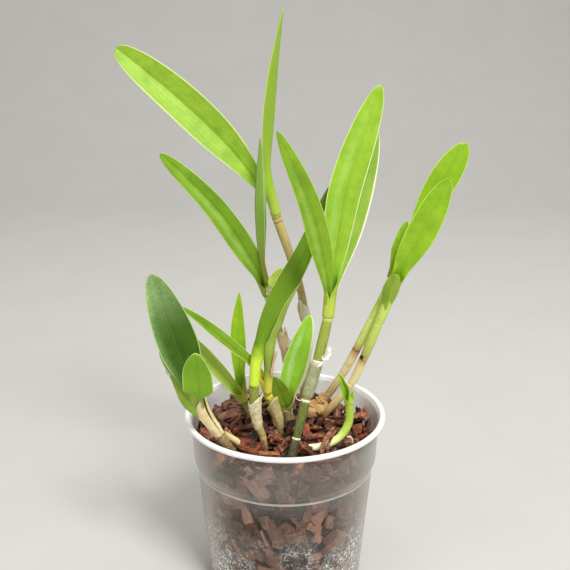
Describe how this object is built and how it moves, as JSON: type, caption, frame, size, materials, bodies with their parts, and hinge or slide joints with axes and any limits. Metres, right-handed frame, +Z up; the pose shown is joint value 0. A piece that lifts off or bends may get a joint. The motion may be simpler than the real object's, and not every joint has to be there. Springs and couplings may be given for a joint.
{
  "type": "potted epidendrum ciliare",
  "caption": "Young reed-stemmed orchid with strap leaves and papery sleeves, growing in bark chips in a clear tapered nursery pot with a beaded rim.",
  "frame": {"origin": "middle of the pot's flat base, on the surface that the pot stands on", "axes": "+Z up along the pot's axis; +X to the viewer's right and -Y towards the viewer, seen from the front"},
  "size_m": [0.2016, 0.12, 0.3381],
  "materials": {
    "pot_plastic": "clear thin plastic, faintly frosted, with lime and water specks",
    "bark": "dry red-brown bark chips, matt, with orange and dark faces",
    "cane": "green to olive stem with tan dry skin lower down",
    "sleeve": "dry papery sheath, tan to cream, with fine lengthwise lines",
    "leaf": "satin fleshy leaf, lime green, with a pale thin margin and fine veins",
    "shoot": "smooth young shoot, cream at its foot and green above",
    "root": "smooth pale young root",
    "rhizome": "knobbly tan creeping stem with dry scales"
  },
  "bodies": {
    "root": {"pot": "pot_plastic", "cane_1": "cane", "cane_2": "cane", "cane_3": "cane", "cane_4": "cane", "cane_5": "cane", "cane_6": "cane", "cane_7": "cane", "cane_8": "cane", "cane_9": "cane", "cane_10": "cane", "rhizome": "rhizome", "young_root": "root", "new_shoot": "shoot", "sheath_1": "sleeve", "sheath_3": "sleeve", "sheath_4": "sleeve", "sheath_5": "sleeve", "sheath_6": "sleeve", "sheath_7": "sleeve", "sheath_8": "sleeve", "leaf_1a": "leaf", "leaf_1b": "leaf", "leaf_1c": "leaf", "leaf_2a": "leaf", "leaf_2b": "leaf", "leaf_3a": "leaf", "leaf_4a": "leaf", "leaf_4b": "leaf", "leaf_5a": "leaf", "leaf_5b": "leaf", "leaf_6a": "leaf", "leaf_6b": "leaf", "leaf_7a": "leaf", "leaf_7b": "leaf", "leaf_7c": "leaf", "leaf_8b": "leaf", "leaf_8a": "leaf", "leaf_8c": "leaf", "leaf_9a": "leaf", "leaf_9b": "leaf", "leaf_10a": "leaf", "leaf_10b": "leaf", "shoot_leaf": "leaf", "bark": "bark"}
  },
  "joints": []
}
